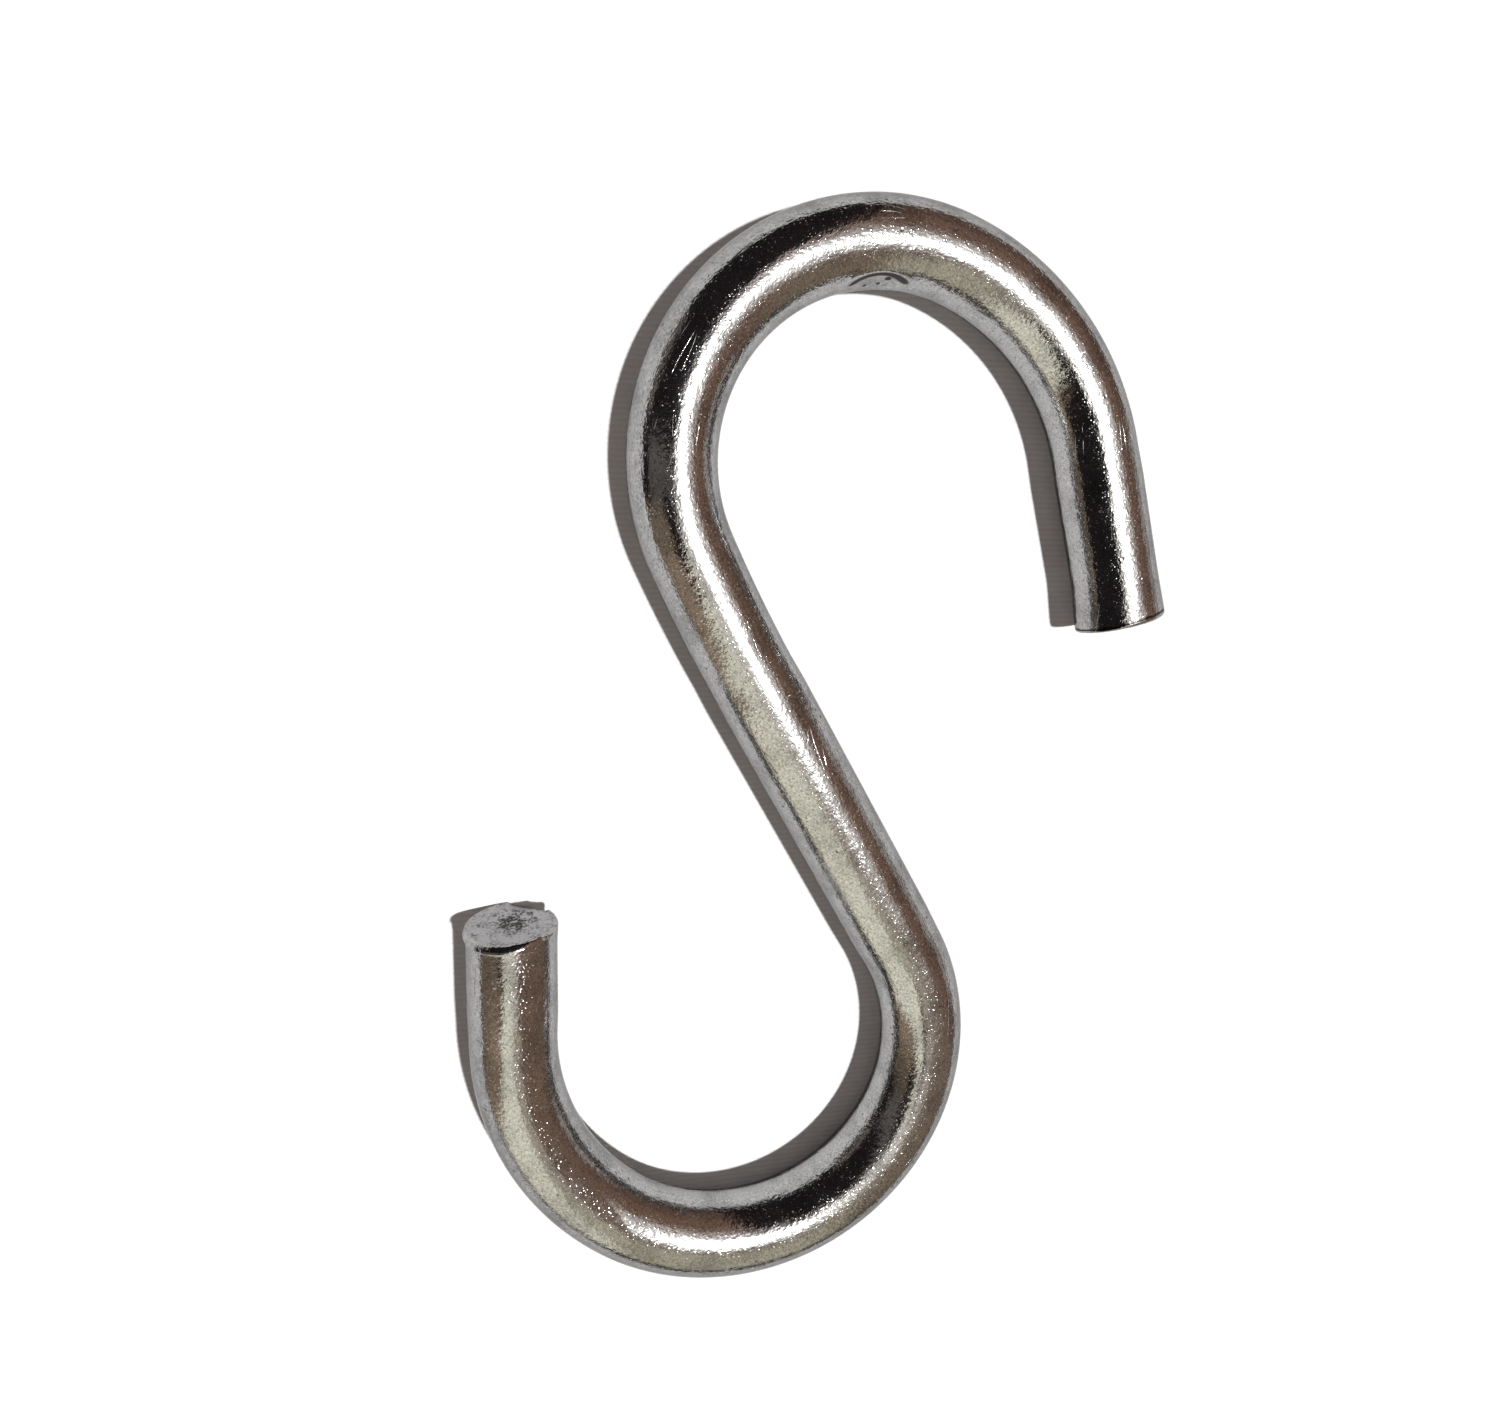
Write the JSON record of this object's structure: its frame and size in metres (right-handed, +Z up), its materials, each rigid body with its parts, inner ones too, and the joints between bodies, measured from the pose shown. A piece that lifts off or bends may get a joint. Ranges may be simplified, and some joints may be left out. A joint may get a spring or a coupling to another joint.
{
  "type": "s hook",
  "caption": "Open S hook bent from one round steel bar, bright zinc plated, with a wide rounded hook at each end to hang one thing from another.",
  "frame": {"origin": "under the middle of the hook's box, on the surface that the hook lies on", "axes": "+X across the hook, towards the side where the upper hook's free end is; +Y along the hook towards its upper hook; +Z up from the surface it lies on, through the bar"},
  "size_m": [0.0661, 0.0998, 0.008],
  "materials": {
    "zinc_plate": "bright zinc plating over mild steel bar, mirror-like with a fine grain; the sheared end faces are dull grey"
  },
  "bodies": {
    "root": {"s_hook": "zinc_plate"}
  },
  "joints": []
}
